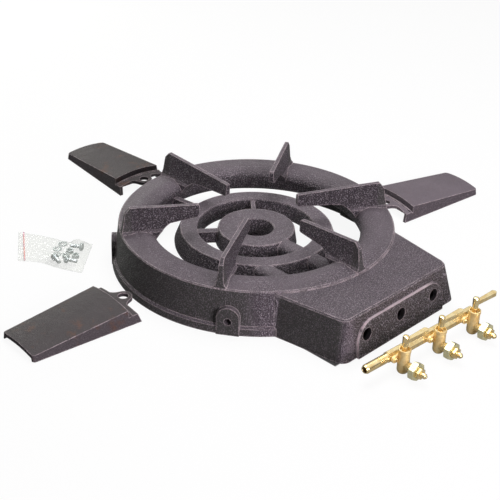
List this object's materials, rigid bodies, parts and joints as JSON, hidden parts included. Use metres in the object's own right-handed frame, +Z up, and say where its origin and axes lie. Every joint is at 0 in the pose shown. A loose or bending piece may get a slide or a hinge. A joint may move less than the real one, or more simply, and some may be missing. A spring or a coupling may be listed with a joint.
{
  "type": "cast iron gas stove",
  "caption": "Cast iron gas burner ring with box, pan supports and nested burners, with loose legs, a brass tap manifold and a bag of leg bolts",
  "frame": {"origin": "on the common axis of the rings, at the floor", "axes": "+Z up along the rings' axis, -Y from the rings towards the gas box and the manifold, +X along the row of gas holes"},
  "size_m": [0.7848, 0.785, 0.1],
  "materials": {
    "iron_coat": "dark violet-grey hammer coat with an orange-peel texture, slightly worn pale on the edges",
    "brass_polished": "turned and polished",
    "brass_cast": "sand cast, matt",
    "brass_pale": "pale, lightly tarnished",
    "zinc_steel": "bright zinc plated",
    "bag_film": "clear, slightly cloudy film",
    "zip_pink": "pink zip strip"
  },
  "bodies": {
    "kit": {"stove_casting": "iron_coat", "leg_left": "iron_coat", "leg_back": "iron_coat", "leg_right": "iron_coat", "manifold_bar": "brass_polished", "hose_tail": "brass_polished", "tap_body_left": "brass_cast", "tap_body_middle": "brass_cast", "tap_body_right": "brass_cast", "gland_left": "brass_polished", "gland_middle": "brass_polished", "gland_right": "brass_polished", "flange_screws_left": "brass_polished", "flange_screws_middle": "brass_polished", "flange_screws_right": "brass_polished", "lock_nut_left": "brass_pale", "lock_nut_middle": "brass_pale", "lock_nut_right": "brass_pale", "jet_left": "brass_polished", "jet_middle": "brass_polished", "jet_right": "brass_polished", "bolt_bag": "bag_film", "bag_zip": "zip_pink", "leg_bolt_a": "zinc_steel", "leg_bolt_b": "zinc_steel", "leg_bolt_c": "zinc_steel", "leg_nut_a": "zinc_steel", "leg_nut_b": "zinc_steel", "leg_nut_c": "zinc_steel", "leg_washer_a": "zinc_steel", "leg_washer_b": "zinc_steel", "leg_washer_c": "zinc_steel"},
    "tap_key_left_body": {"tap_key_left": "brass_polished"},
    "tap_key_middle_body": {"tap_key_middle": "brass_polished"},
    "tap_key_right_body": {"tap_key_right": "brass_polished"}
  },
  "joints": [
    {"name": "turn_left", "type": "hinge", "parent": "kit", "child": "tap_key_left_body", "pos_m": [-0.06542, -0.31479, 0], "axis": [0, 0, -1], "range_deg": [0, 90]},
    {"name": "turn_middle", "type": "hinge", "parent": "kit", "child": "tap_key_middle_body", "pos_m": [0.00149, -0.31829, 0], "axis": [0, 0, -1], "range_deg": [0, 90]},
    {"name": "turn_right", "type": "hinge", "parent": "kit", "child": "tap_key_right_body", "pos_m": [0.0684, -0.3218, 0], "axis": [0, 0, -1], "range_deg": [0, 90]}
  ]
}
